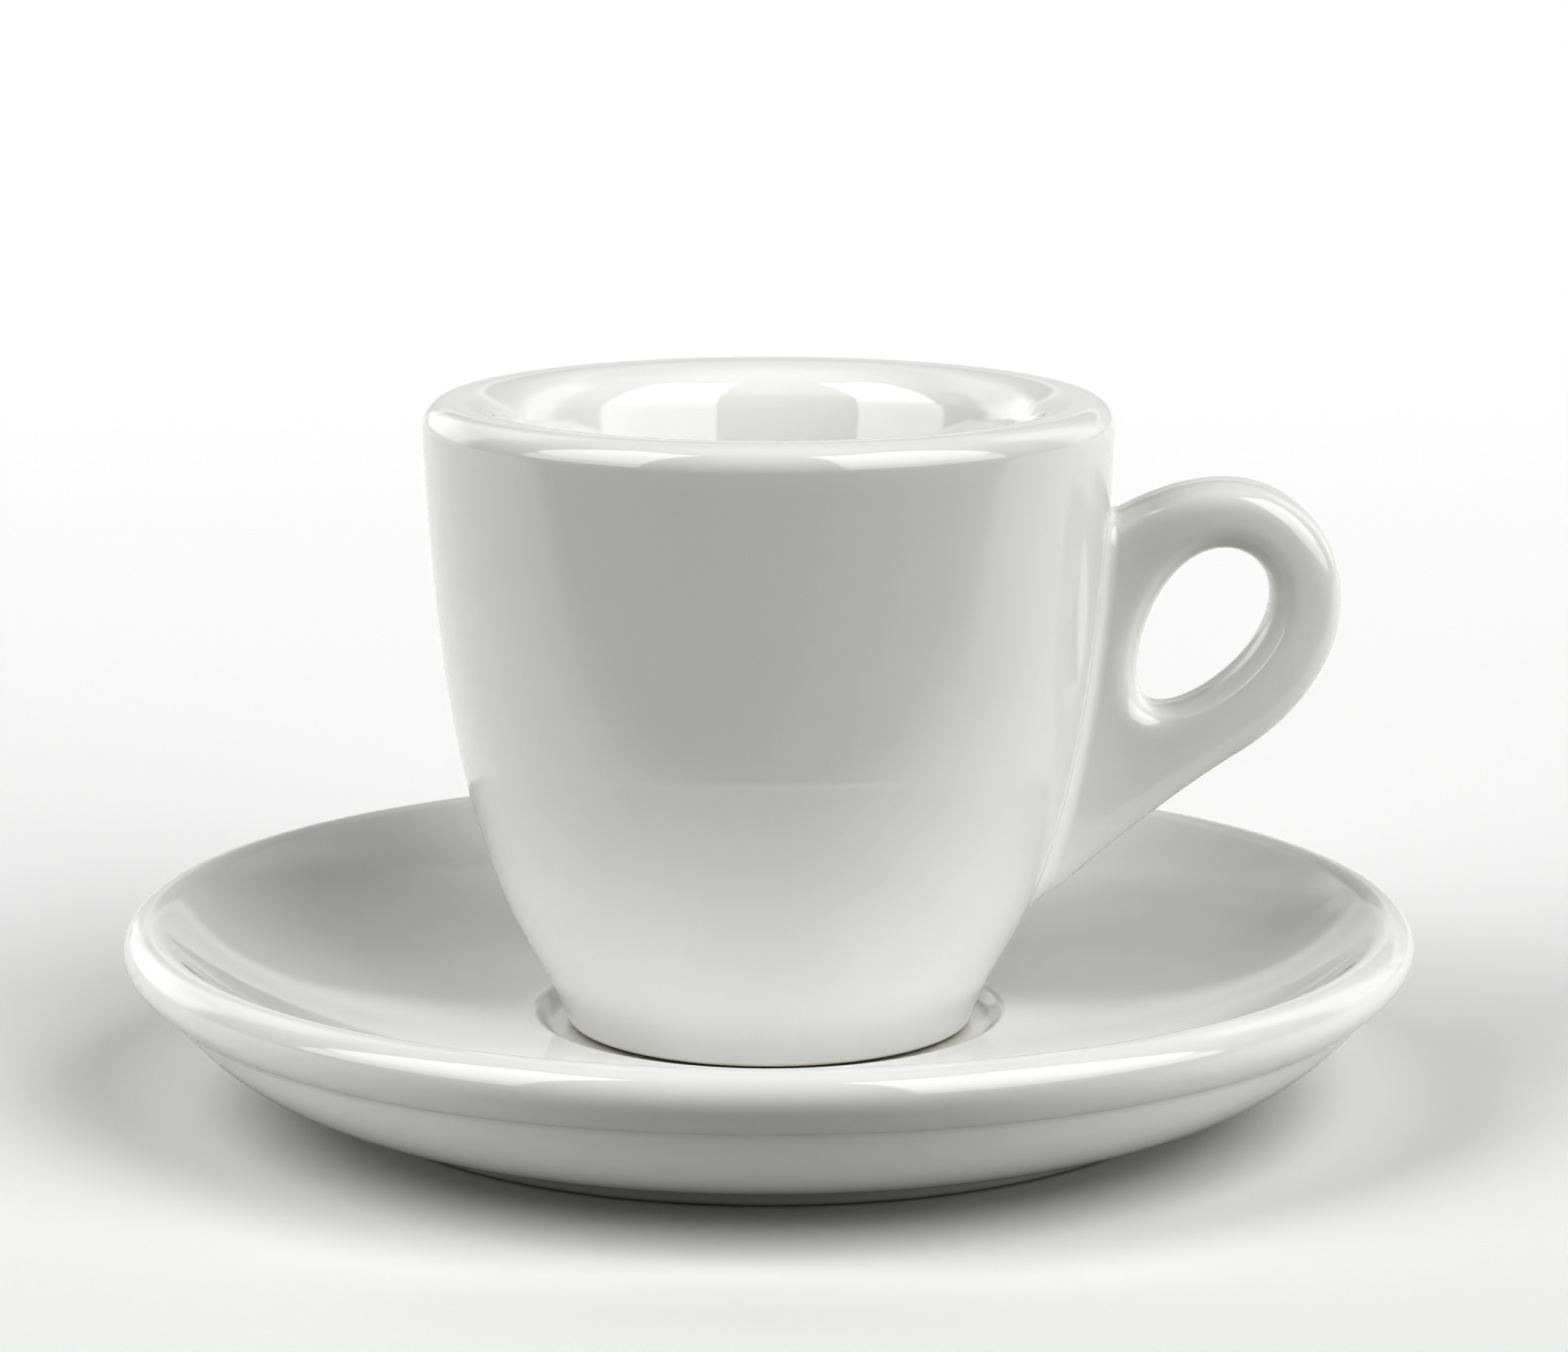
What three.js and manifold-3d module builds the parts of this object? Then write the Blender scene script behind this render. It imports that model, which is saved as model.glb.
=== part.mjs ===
// Espresso cup and saucer in thick glazed porcelain.
// The cup body and the saucer are turned shapes. The handle is cast by itself and stuck to the cup's wall.
// Millimetres, +Z up. The origin is on the table under the middle of the saucer. The handle points along +X.

import * as THREE from "three";
import { ParametricGeometry } from "three/addons/geometries/ParametricGeometry.js";
import { mergeVertices } from "three/addons/utils/BufferGeometryUtils.js";
import Module from "manifold-3d";

// Saucer
const SAUCER_DIAMETER = 120;
const SAUCER_HEIGHT = 17.5;
const SAUCER_RIM_ROUND = 2.3; // radius of the rounded rim
const RIM_BAND_HEIGHT = 5.7; // from the rim's top down to the step on its outside
const RIM_BAND_TAPER = 2.5; // how far the band draws in down to the step
const RIM_STEP = 0.5; // depth of the step under the band
const DISH_DEPTH = 9.6; // from the rim's top down to the edge of the well
const DISH_WALL_ANGLE = 42; // degrees from level, just inside the rim
const DISH_FLOOR_ANGLE = 3; // degrees from level, at the edge of the well
const WELL_DIAMETER = 43.8;
const WELL_DEPTH = 1.2;
const WELL_EDGE_ROUND = 0.8;
const SAUCER_FOOT_DIAMETER = 78;
const SAUCER_FOOT_WIDTH = 5;
const SAUCER_FOOT_HEIGHT = 1.9; // on the outside, where the underside meets the foot
const SAUCER_FOOT_ROUND = 0.8;
const SAUCER_BASE_RECESS = 2.4; // height of the underside within the foot
const UNDERSIDE_BULGE = 2.2; // how far the underside swells past a straight cone

// Cup body
const CUP_HEIGHT = 58.5;
const CUP_LIP_DIAMETER = 63.6;
const LIP_OUTER_ROUND = 3.4;
const LIP_INNER_ROUND = 5;
const CUP_WALL_DRAFT = 2.2; // degrees from upright, under the lip on the outside
const CUP_BELLY_RUN = 44.8; // how far the outside holds its draft before it turns in
const CUP_FOOT_DIAMETER = 38.7;
const CUP_FOOT_DRAFT = 16; // degrees from upright, just above the foot
const CUP_FOOT_RUN = 8.4;
const CUP_FOOT_EDGE = 1.2; // height of the rounded edge of the foot
const CUP_FOOT_WIDTH = 3.6;
const CUP_FOOT_RECESS = 2;
const CUP_BASE_THICKNESS = 6;
const BORE_DRAFT = 11; // degrees from upright, under the lip on the inside
const BORE_WALL_RUN = 28; // how far the bore holds its draft before it turns in
const BORE_FLOOR_RUN = 19; // how far the bore's floor stays level from the middle

// Handle
const HANDLE_CROWN_DROP = 7.5; // from the lip's top down to the handle's highest point
const HANDLE_TAIL_RISE = 11.5; // from the cup's foot up to the toe of the tail
const HANDLE_WEB = 4; // least width between the finger hole and the cup's wall
const HANDLE_THICKNESS = 9;
const HOLE_LENGTH = 16.4;
const HOLE_WIDTH = 9.8;
const HOLE_TILT = 56.2; // degrees from level
const HOLE_EGG = 0.2; // share by which the hole is wider at its upper end
const BAND_TOP = 6.3; // width of the handle's band over the hole
const BAND_TAIL = 6.7; // width of the band where the tail leaves it
const TAIL_ANGLE = 31.4; // degrees from level, where the tail leaves the band
const TAIL_RUN = 7.8; // how far the tail holds that angle before it bends down
const TOE_LENGTH = 2.4; // length of the turned-in end of the tail
const TOE_ANGLE = 22; // degrees from level
const CROWN_RUN = 4.8; // how far the top edge stays level before it drops to the wall
const CROWN_FALL = 3.3; // from the crown down to where the top edge meets the wall
const HANDLE_FILLET = 1.2; // radius of the slip fillet against the wall

// Fits
const JOINT_GAP = 0.3; // between the handle and the wall it is stuck to
const SEAT_GAP = 0.3; // between the cup's foot and the floor of the well

// Facets
const TURN_STEPS = 56; // round a turned piece
const FACET_TURN = 24; // degrees that a profile may turn in one step
const FACET_LENGTH = 6; // longest step along a profile's curves
const HANDLE_STEPS = 64; // round the finger hole
const HANDLE_SIDE_STEPS = 10; // across one side of the handle
const FINE_STEPS = 64; // along the curves that other pieces are fitted to

const saucerRadius = SAUCER_DIAMETER / 2;
const wellRadius = WELL_DIAMETER / 2;
const wellEdge = SAUCER_HEIGHT - DISH_DEPTH;
const wellFloor = wellEdge - WELL_DEPTH;
const cupBottom = wellFloor + SEAT_GAP;
const lipTop = cupBottom + CUP_HEIGHT;
const lipRadius = CUP_LIP_DIAMETER / 2;
const wallTop = lipTop - LIP_OUTER_ROUND;

const wasm = await Module();
wasm.setup();

const rad = THREE.MathUtils.degToRad;

// The point a given run away from another, at an angle in degrees from level.
function away(from, run, angle) {
  return new THREE.Vector2(from.x + run * Math.cos(rad(angle)), from.y + run * Math.sin(rad(angle)));
}

// Draws a straight line towards a corner, rounds the corner off, and stops where the next line starts.
function roundCorner(path, corner, next, radius) {
  const before = path.currentPoint.clone().sub(corner);
  const after = next.clone().sub(corner);
  const trim = Math.min(radius, before.length() / 2, after.length() / 2);
  const start = corner.clone().addScaledVector(before.normalize(), trim);
  const end = corner.clone().addScaledVector(after.normalize(), trim);
  path.lineTo(start.x, start.y);
  path.quadraticCurveTo(corner.x, corner.y, end.x, end.y);
}

// The points of a path, with more steps where a curve turns or is long.
function facets(path) {
  const points = [path.curves[0].getPoint(0)];
  for (const curve of path.curves) {
    const samples = curve.getPoints(FINE_STEPS);
    const turns = samples.slice(1).map((p, i) => p.clone().sub(samples[i]).angle());
    const bends = turns.slice(1).map((turn, i) => Math.abs(Math.sin(turn - turns[i])));
    const turnSteps = bends.reduce((sum, bend) => sum + bend, 0) / rad(FACET_TURN);
    const lengthSteps = curve.isLineCurve ? 1 : curve.getLength() / FACET_LENGTH;
    const steps = Math.max(1, Math.ceil(Math.max(turnSteps, lengthSteps)));
    points.push(...curve.getPoints(steps).slice(1));
  }
  return points;
}

// A solid of revolution round Z. The profile runs from the axis under the piece to the axis above it.
function turned(profile) {
  return new THREE.LatheGeometry(profile, TURN_STEPS).rotateX(Math.PI / 2);
}

// A geometry as a closed solid for joining and cutting.
function solidOf(geometry) {
  const bare = geometry.clone();
  bare.deleteAttribute("normal");
  bare.deleteAttribute("uv");
  const merged = mergeVertices(bare, 1e-4);
  const mesh = new wasm.Mesh({
    numProp: 3,
    vertProperties: merged.getAttribute("position").array,
    triVerts: new Uint32Array(merged.index.array),
  });
  return new wasm.Manifold(mesh);
}

// A solid back as a geometry.
function geometryOf(solid) {
  const mesh = solid.getMesh();
  const geometry = new THREE.BufferGeometry();
  geometry.setAttribute("position", new THREE.BufferAttribute(mesh.vertProperties, 3));
  geometry.setIndex(new THREE.BufferAttribute(mesh.triVerts, 1));
  geometry.computeVertexNormals();
  return geometry;
}

// The outside of the cup from the foot up to the lip's widest circle, as one curve of radius and height.
const wallStart = new THREE.Vector2(CUP_FOOT_DIAMETER / 2, cupBottom + CUP_FOOT_EDGE);
const wallEnd = new THREE.Vector2(lipRadius, wallTop);
const wallCurve = new THREE.CubicBezierCurve(
  wallStart,
  away(wallStart, CUP_FOOT_RUN, 90 - CUP_FOOT_DRAFT),
  away(wallEnd, -CUP_BELLY_RUN, 90 - CUP_WALL_DRAFT),
  wallEnd,
);
const wallSamples = wallCurve.getPoints(FINE_STEPS);

// The cup's outside radius at a height.
function wallRadius(z) {
  const above = wallSamples.findIndex((p) => p.y > z);
  if (above === 0) return wallStart.x;
  if (above < 0) return wallEnd.x;
  const low = wallSamples[above - 1];
  const high = wallSamples[above];
  return THREE.MathUtils.mapLinear(z, low.y, high.y, low.x, high.x);
}

function saucerProfile() {
  const path = new THREE.Path();
  const footOuter = SAUCER_FOOT_DIAMETER / 2;
  const footInner = footOuter - SAUCER_FOOT_WIDTH;
  const innerTop = new THREE.Vector2(footInner - SAUCER_FOOT_ROUND, SAUCER_BASE_RECESS);
  const innerFoot = new THREE.Vector2(footInner, 0);
  const outerFoot = new THREE.Vector2(footOuter, 0);
  const footTop = new THREE.Vector2(footOuter + SAUCER_FOOT_ROUND, SAUCER_FOOT_HEIGHT);
  const bandFoot = new THREE.Vector2(saucerRadius - RIM_BAND_TAPER, SAUCER_HEIGHT - RIM_BAND_HEIGHT);
  const stepCorner = new THREE.Vector2(bandFoot.x - RIM_STEP, bandFoot.y - RIM_STEP / 2);
  path.moveTo(0, SAUCER_BASE_RECESS);
  roundCorner(path, innerTop, innerFoot, SAUCER_FOOT_ROUND);
  roundCorner(path, innerFoot, outerFoot, SAUCER_FOOT_ROUND);
  roundCorner(path, outerFoot, footTop, SAUCER_FOOT_ROUND);
  path.lineTo(footTop.x, footTop.y);

  // The underside is nearly level over the foot and swells on its way up to the step.
  const middle = footTop.clone().lerp(stepCorner, 0.5);
  const along = stepCorner.clone().sub(footTop).normalize();
  const swell = new THREE.Vector2(along.y, -along.x).multiplyScalar(2 * UNDERSIDE_BULGE);
  path.quadraticCurveTo(middle.x + swell.x, middle.y + swell.y, stepCorner.x, stepCorner.y);

  // The band outside the rim, then the rim's round top.
  const rimCentre = new THREE.Vector2(saucerRadius - SAUCER_RIM_ROUND, SAUCER_HEIGHT - SAUCER_RIM_ROUND);
  path.lineTo(bandFoot.x, bandFoot.y);
  path.quadraticCurveTo(saucerRadius, (bandFoot.y + rimCentre.y) / 2, saucerRadius, rimCentre.y);
  path.absarc(rimCentre.x, rimCentre.y, SAUCER_RIM_ROUND, 0, rad(90 + DISH_WALL_ANGLE), false);

  // The dish, from the rim down to the edge of the well.
  const dishTop = path.currentPoint.clone();
  const dishFoot = new THREE.Vector2(wellRadius + WELL_EDGE_ROUND, wellEdge);
  const dishRun = (dishTop.x - dishFoot.x) / 2;
  const wallHandle = away(dishTop, -Math.min(dishRun, DISH_DEPTH), DISH_WALL_ANGLE);
  const floorHandle = away(dishFoot, dishRun, DISH_FLOOR_ANGLE);
  path.bezierCurveTo(wallHandle.x, wallHandle.y, floorHandle.x, floorHandle.y, dishFoot.x, dishFoot.y);

  // The well that the cup's foot stands in.
  const wellLip = new THREE.Vector2(wellRadius, wellEdge);
  const wellCorner = new THREE.Vector2(wellRadius - WELL_DEPTH, wellFloor);
  const axis = new THREE.Vector2(0, wellFloor);
  roundCorner(path, wellLip, wellCorner, WELL_EDGE_ROUND);
  roundCorner(path, wellCorner, axis, WELL_EDGE_ROUND);
  path.lineTo(axis.x, axis.y);
  return facets(path);
}

function cupProfile() {
  const path = new THREE.Path();
  const footEdge = new THREE.Vector2(wallStart.x - CUP_FOOT_EDGE / 2, cupBottom);
  const footInner = new THREE.Vector2(footEdge.x - CUP_FOOT_WIDTH, cupBottom);
  const recess = new THREE.Vector2(footInner.x - CUP_FOOT_EDGE / 2, cupBottom + CUP_FOOT_RECESS);
  path.moveTo(0, recess.y);
  roundCorner(path, recess, footInner, CUP_FOOT_EDGE / 2);
  roundCorner(path, footInner, footEdge, CUP_FOOT_EDGE / 2);
  roundCorner(path, footEdge, wallStart, CUP_FOOT_EDGE / 2);
  path.lineTo(wallStart.x, wallStart.y);
  path.curves.push(wallCurve);
  path.currentPoint.copy(wallEnd);

  // The lip is round outside and in, with its crest between.
  const crest = new THREE.Vector2(lipRadius - LIP_OUTER_ROUND, lipTop);
  path.absarc(crest.x, wallTop, LIP_OUTER_ROUND, 0, rad(90), false);
  path.absarc(crest.x, lipTop - LIP_INNER_ROUND, LIP_INNER_ROUND, rad(90), rad(180 - BORE_DRAFT), false);

  // The bore runs down to a rounded floor.
  const boreTop = path.currentPoint.clone();
  const floor = cupBottom + CUP_FOOT_RECESS + CUP_BASE_THICKNESS;
  const boreHandle = away(boreTop, -BORE_WALL_RUN, 90 - BORE_DRAFT);
  path.bezierCurveTo(boreHandle.x, boreHandle.y, BORE_FLOOR_RUN, floor, 0, floor);
  return facets(path);
}

// The finger hole is an egg, wider at its upper end and tilted away from the cup.
function eggAt(angle, centre) {
  const along = (HOLE_LENGTH / 2) * Math.cos(angle);
  const across = (HOLE_WIDTH / 2) * Math.sin(angle) * (1 + HOLE_EGG * Math.cos(angle));
  const tilted = new THREE.Vector2(along, across).rotateAround(new THREE.Vector2(), rad(HOLE_TILT));
  return tilted.add(centre);
}

function eggNormal(angle) {
  const step = 1e-4;
  const origin = new THREE.Vector2();
  const ahead = eggAt(angle + step, origin).sub(eggAt(angle - step, origin));
  return new THREE.Vector2(ahead.y, -ahead.x).normalize();
}

// The hole's centre: the band stands over it, and the web lies between it and the wall.
function holeCentre() {
  const angles = Array.from({ length: HANDLE_STEPS }, (_, i) => (i / HANDLE_STEPS) * 2 * Math.PI);
  const around = angles.map((angle) => eggAt(angle, new THREE.Vector2()));
  const top = Math.max(...around.map((p) => p.y));
  const z = lipTop - HANDLE_CROWN_DROP - BAND_TOP - top;
  const x = Math.max(...around.map((p) => wallRadius(z + p.y) + HANDLE_WEB - p.x));
  return new THREE.Vector2(x, z);
}

// How far a ray goes before it meets an open line of points.
function rayLength(from, direction, line) {
  let nearest = Infinity;
  for (let i = 0; i + 1 < line.length; i += 1) {
    const side = line[i + 1].clone().sub(line[i]);
    const apart = line[i].clone().sub(from);
    const turn = direction.cross(side);
    const along = apart.cross(side) / turn;
    const share = apart.cross(direction) / turn;
    if (along > 0 && share >= 0 && share <= 1) nearest = Math.min(nearest, along);
  }
  return nearest;
}

// The stretch of the handle's outline that leaves the band: from the crown into the wall, and back out
// along the toe and the tail to where the tail joins the band again.
function rootOutline(crown, shoulder) {
  const toe = new THREE.Vector2(0, cupBottom + HANDLE_TAIL_RISE);
  toe.x = wallRadius(toe.y);
  const toeEnd = away(toe, TOE_LENGTH, TOE_ANGLE);
  const rootTop = new THREE.Vector2(0, crown.y - CROWN_FALL);
  rootTop.x = wallRadius(rootTop.y);
  const slope = new THREE.Vector2(CROWN_RUN - (crown.x - rootTop.x), -CROWN_FALL);
  const sunkTop = rootTop.clone().addScaledVector(slope.normalize(), HANDLE_THICKNESS);
  const sunkToe = away(toe, -HANDLE_THICKNESS, TOE_ANGLE);
  const path = new THREE.Path();
  path.moveTo(crown.x, crown.y);
  path.quadraticCurveTo(crown.x - CROWN_RUN, crown.y, rootTop.x, rootTop.y);
  path.lineTo(sunkTop.x, sunkTop.y);
  path.lineTo(sunkToe.x, sunkToe.y);
  const tailBend = away(shoulder, -TAIL_RUN, TAIL_ANGLE);
  roundCorner(path, toeEnd, tailBend, TOE_LENGTH);
  path.quadraticCurveTo(tailBend.x, tailBend.y, shoulder.x, shoulder.y);
  return path.getPoints(FINE_STEPS);
}

// The handle's ring, lofted round the hole. It runs on into the wall, to be cut to fit there.
function handleRing() {
  const centre = holeCentre();
  const stations = [];
  for (let i = 0; i <= HANDLE_STEPS; i += 1) {
    const angle = (i / HANDLE_STEPS) * 2 * Math.PI;
    const normal = eggNormal(angle);
    stations.push({ hole: eggAt(angle, centre), normal, turn: Math.atan2(normal.y, normal.x) });
  }
  const shoulderTurn = rad(TAIL_ANGLE - 90);
  const bandWidth = (turn) => THREE.MathUtils.mapLinear(turn, rad(90), shoulderTurn, BAND_TOP, BAND_TAIL);
  const onBand = stations.filter((s) => s.turn <= rad(90) && s.turn >= shoulderTurn);
  onBand.sort((a, b) => b.turn - a.turn);
  const edge = onBand.map((s) => s.hole.clone().addScaledVector(s.normal, bandWidth(s.turn)));
  const outline = rootOutline(edge[0], edge[edge.length - 1]);
  for (const s of stations) {
    s.width = onBand.includes(s) ? bandWidth(s.turn) : rayLength(s.hole, s.normal, outline);
  }

  // One point of the skin: round the hole with u, and round the band's section with v.
  const roundWidth = BAND_TOP / 2;
  const flank = 0.3; // share of the steps that the flat side between the two rounds gets
  function skin(u, v, target) {
    const station = stations[Math.round(u * HANDLE_STEPS)];
    const side = v <= 0.5 ? 1 : -1;
    const share = 1 - Math.abs(1 - 2 * v);
    const flatShare = THREE.MathUtils.clamp((share - 0.5 + flank / 2) / flank, 0, 1);
    const roundShare = (share - flank * flatShare) / (1 - flank);
    const turn = roundShare * Math.PI;
    const flat = Math.max(station.width - 2 * roundWidth, 0) * flatShare;
    const across = roundWidth * (1 - Math.cos(turn)) + flat;
    const place = station.hole.clone().addScaledVector(station.normal, across);
    const thick = (HANDLE_THICKNESS / 2) * Math.sin(turn);
    const gap = Math.max(Math.hypot(place.x, thick) - wallRadius(place.y), 0);
    const inFillet = Math.max(HANDLE_FILLET - gap, 0);
    const flare = HANDLE_FILLET - Math.sqrt(HANDLE_FILLET ** 2 - inFillet ** 2);
    place.addScaledVector(station.normal, -Math.cos(turn) * flare);
    target.set(place.x, side * (thick + Math.sin(turn) * flare), place.y);
  }
  return new ParametricGeometry(skin, HANDLE_STEPS, 2 * HANDLE_SIDE_STEPS);
}

// The cup's outside as a plain solid, grown by the gap, to cut the handle's root.
function wallCutter() {
  const top = lipTop + HANDLE_THICKNESS;
  const grown = wallSamples.map((p) => new THREE.Vector2(p.x + JOINT_GAP, p.y));
  const foot = new THREE.Vector2(0, grown[0].y);
  const edge = new THREE.Vector2(grown[grown.length - 1].x, top);
  const axis = new THREE.Vector2(0, top);
  return turned([foot, ...grown, edge, axis]);
}

function piece(name, geometry, colour, roughness) {
  const material = new THREE.MeshStandardMaterial({ color: colour, roughness, metalness: 0 });
  const mesh = new THREE.Mesh(geometry, material);
  mesh.name = name;
  return mesh;
}

const handleSolid = solidOf(handleRing()).subtract(solidOf(wallCutter()));

const cup = new THREE.Group();
cup.add(piece("cup_body", turned(cupProfile()), 0xf3f2ee, 0.1));
cup.add(piece("cup_handle", geometryOf(handleSolid), 0xf2f1ed, 0.1));

const set = new THREE.Group();
set.add(piece("saucer", turned(saucerProfile()), 0xf3f2ee, 0.1));
set.add(cup);

export default set;
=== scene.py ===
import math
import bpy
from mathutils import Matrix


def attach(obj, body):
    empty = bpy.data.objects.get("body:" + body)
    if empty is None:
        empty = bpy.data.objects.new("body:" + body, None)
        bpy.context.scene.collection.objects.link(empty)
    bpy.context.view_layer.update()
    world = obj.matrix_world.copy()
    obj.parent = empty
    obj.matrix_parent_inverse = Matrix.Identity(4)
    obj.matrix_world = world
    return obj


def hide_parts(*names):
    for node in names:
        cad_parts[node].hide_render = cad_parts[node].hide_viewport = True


bl_info = {
    "name": "Espresso cup and saucer",
    "version": (1, 0, 0),
    "blender": (4, 5, 0),
    "location": "3D View > Sidebar > Cup set",
    "description": "Builds a thick glazed porcelain espresso cup with a ring handle, standing on its saucer",
    "category": "Add Mesh",
}

import bmesh
import bpy
import numpy as np
from bpy.props import FloatProperty, FloatVectorProperty, IntProperty, PointerProperty

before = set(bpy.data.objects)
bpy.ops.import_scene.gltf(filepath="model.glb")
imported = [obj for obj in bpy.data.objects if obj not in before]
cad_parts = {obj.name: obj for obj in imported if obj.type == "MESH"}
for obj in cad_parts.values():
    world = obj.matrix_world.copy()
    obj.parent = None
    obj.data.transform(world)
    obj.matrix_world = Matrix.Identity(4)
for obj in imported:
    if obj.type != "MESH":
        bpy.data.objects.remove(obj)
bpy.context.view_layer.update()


# Properties


def length(name, description, default):
    """A length in metres, shown in the scene's unit."""
    return FloatProperty(
        name=name, description=description, default=default, min=0, precision=5, unit="LENGTH"
    )


def angle(name, description, degrees):
    """An angle, given in degrees and kept in radians."""
    return FloatProperty(name=name, description=description, default=math.radians(degrees), subtype="ANGLE")


def colour(name, description, default):
    """A linear colour without alpha."""
    return FloatVectorProperty(
        name=name, description=description, default=default, size=3, min=0, max=1, subtype="COLOR"
    )


class SaucerSizes(bpy.types.PropertyGroup):
    """The saucer's section, from its foot ring over the rim to the well."""

    diameter: length("Diameter", "Across the rim", 0.12)
    height: length("Height", "From the table to the top of the rim", 0.0175)
    rim_round: length("Rim round", "Radius of the rim's round top", 0.0023)
    band_height: length("Rim band height", "From the top of the rim down to the step outside", 0.0057)
    band_taper: length("Rim band taper", "How far the band draws in at its foot", 0.0025)
    step: length("Step", "How far the underside stands back under the band", 0.0005)
    dish_depth: length("Dish depth", "From the top of the rim down to the edge of the well", 0.0096)
    wall_angle: angle("Dish wall angle", "Slope of the dish next to the rim", 42)
    floor_angle: angle("Dish floor angle", "Slope of the dish next to the well", 3)
    well_diameter: length("Well diameter", "Across the edge of the well", 0.0438)
    well_depth: length("Well depth", "From the edge of the well to its floor", 0.0012)
    well_round: length("Well round", "Rounding of the well's edge and corner", 0.0008)
    foot_diameter: length("Foot diameter", "Across the foot ring", 0.078)
    foot_width: length("Foot width", "Width of the foot ring", 0.005)
    foot_height: length("Foot height", "Height of the foot ring's outside", 0.0019)
    foot_round: length("Foot round", "Rounding of the foot ring's edges", 0.0008)
    base_recess: length("Base recess", "Height of the base inside the foot ring", 0.0024)
    bulge: length("Underside bulge", "How far the underside swells from a straight cone", 0.0022)


class CupSizes(bpy.types.PropertyGroup):
    """The cup's section, from its foot up the wall, over the lip and down the bore."""

    seat_gap: length("Seat gap", "Gap between the cup's foot and the floor of the well", 0.0003)
    height: length("Height", "From the foot to the top of the lip", 0.0585)
    lip_diameter: length("Lip diameter", "Across the lip", 0.0636)
    lip_outer_round: length("Outer lip round", "Radius of the lip outside its crest", 0.0024)
    lip_land: length("Lip land", "Level top between the lip's two rounds", 0.001)
    lip_inner_round: length("Inner lip round", "Radius of the lip inside its crest", 0.005)
    wall_draft: angle("Wall draft", "Lean of the wall under the lip", 2.2)
    belly_run: length("Belly run", "How far down the wall keeps that lean", 0.0448)
    foot_diameter: length("Foot diameter", "Across the foot", 0.0387)
    foot_draft: angle("Foot draft", "Lean of the wall just over the foot", 16)
    foot_run: length("Foot run", "How far up the wall keeps that lean", 0.0084)
    foot_edge: length("Foot edge", "Height of the foot's rounded edge", 0.0012)
    foot_width: length("Foot width", "Width of the foot ring", 0.0036)
    foot_recess: length("Foot recess", "Height of the base inside the foot ring", 0.002)
    base: length("Base thickness", "Thickness of the base", 0.006)
    bore_draft: angle("Bore draft", "Lean of the bore under the lip", 11)
    bore_wall_run: length("Bore wall run", "How far down the bore keeps that lean", 0.028)
    bore_floor_run: length("Bore floor run", "How far out the bore's floor stays flat", 0.019)


class HandleSizes(bpy.types.PropertyGroup):
    """The ring handle, its egg-shaped hole and its tail."""

    crown_drop: length("Crown drop", "From the top of the lip down to the top of the handle", 0.0075)
    tail_rise: length("Tail rise", "From the cup's foot up to the toe of the tail", 0.0115)
    web: length("Web", "Thickness between the hole and the cup's wall", 0.004)
    thickness: length("Thickness", "Thickness of the ring from side to side", 0.009)
    fullness: FloatProperty(
        name="Fullness",
        description="How square the ring's section is, 2 being an ellipse",
        default=2.8,
        min=2,
        max=6,
    )
    hole_length: length("Hole length", "Along the hole", 0.0164)
    hole_width: length("Hole width", "Across the hole", 0.0098)
    hole_tilt: angle("Hole tilt", "Slope of the hole's long axis", 56.2)
    hole_egg: FloatProperty(
        name="Hole egg", description="How much wider the upper end is", default=0.2, min=0, max=0.5
    )
    band_top: length("Band top", "Width of the ring at its crown", 0.0063)
    band_tail: length("Band tail", "Width of the ring where the tail leaves it", 0.0067)
    tail_angle: angle("Tail angle", "Slope of the tail where it leaves the ring", 31.4)
    tail_run: length("Tail run", "How far the tail keeps that slope", 0.0078)
    toe_length: length("Toe length", "Length of the toe's underside", 0.0024)
    toe_angle: angle("Toe angle", "Slope of the toe's underside", 22)
    crown_run: length("Crown run", "How far the crown stays level towards the cup", 0.0048)
    crown_fall: length("Crown fall", "How far the crown falls towards the cup", 0.0033)
    fillet: length("Fillet", "Radius where the handle runs into the wall", 0.0012)


class PorcelainFinish(bpy.types.PropertyGroup):
    """Colours of the clear glaze over white porcelain."""

    glaze: colour("Glaze", "White porcelain under thin glaze", (0.872, 0.874, 0.862))
    thick_glaze: colour("Thick glaze", "Porcelain where the glaze lies thicker", (0.855, 0.858, 0.846))
    speck: colour("Speck", "Iron specks in the body", (0.2, 0.16, 0.12))
    biscuit: colour("Biscuit", "The bare foot ring", (0.7, 0.67, 0.61))
    scuff: colour("Scuff", "Grey marks that the foot leaves in the well", (0.5, 0.5, 0.5))


class StudioSetup(bpy.types.PropertyGroup):
    """Floor, camera and picture contrast."""

    # The floor is darker before the set than behind it, as painted shade.
    floor: colour("Floor", "The pale floor", (0.89, 0.89, 0.885))
    far_floor: colour("Far floor", "The floor behind the set", (0.97, 0.97, 0.97))
    camera_back: length("Camera distance", "From the cup's axis to the camera, level", 0.46341)
    camera_height: length("Camera height", "Height of the camera over the floor", 0.12814)
    camera_pitch: FloatProperty(
        name="Camera pitch", description="How far the camera looks down", default=0.189075, subtype="ANGLE"
    )
    camera_yaw: FloatProperty(
        name="Camera yaw",
        description="How far the camera looks to the side",
        default=-0.0030095,
        subtype="ANGLE",
    )
    lens: FloatProperty(
        name="Lens", description="Focal length on a 36 mm sensor", default=116.77, unit="CAMERA"
    )
    contrast: FloatProperty(
        name="Contrast", description="Contrast of the picture", default=1.7, min=0.5, max=3
    )


class CupSet(bpy.types.PropertyGroup):
    """Everything that a user would change."""

    saucer: PointerProperty(type=SaucerSizes)
    cup: PointerProperty(type=CupSizes)
    handle: PointerProperty(type=HandleSizes)
    finish: PointerProperty(type=PorcelainFinish)
    studio: PointerProperty(type=StudioSetup)
    turn_steps: IntProperty(
        name="Turning steps", description="Faces round a turned piece", default=208, min=24
    )


# Sections


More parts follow.
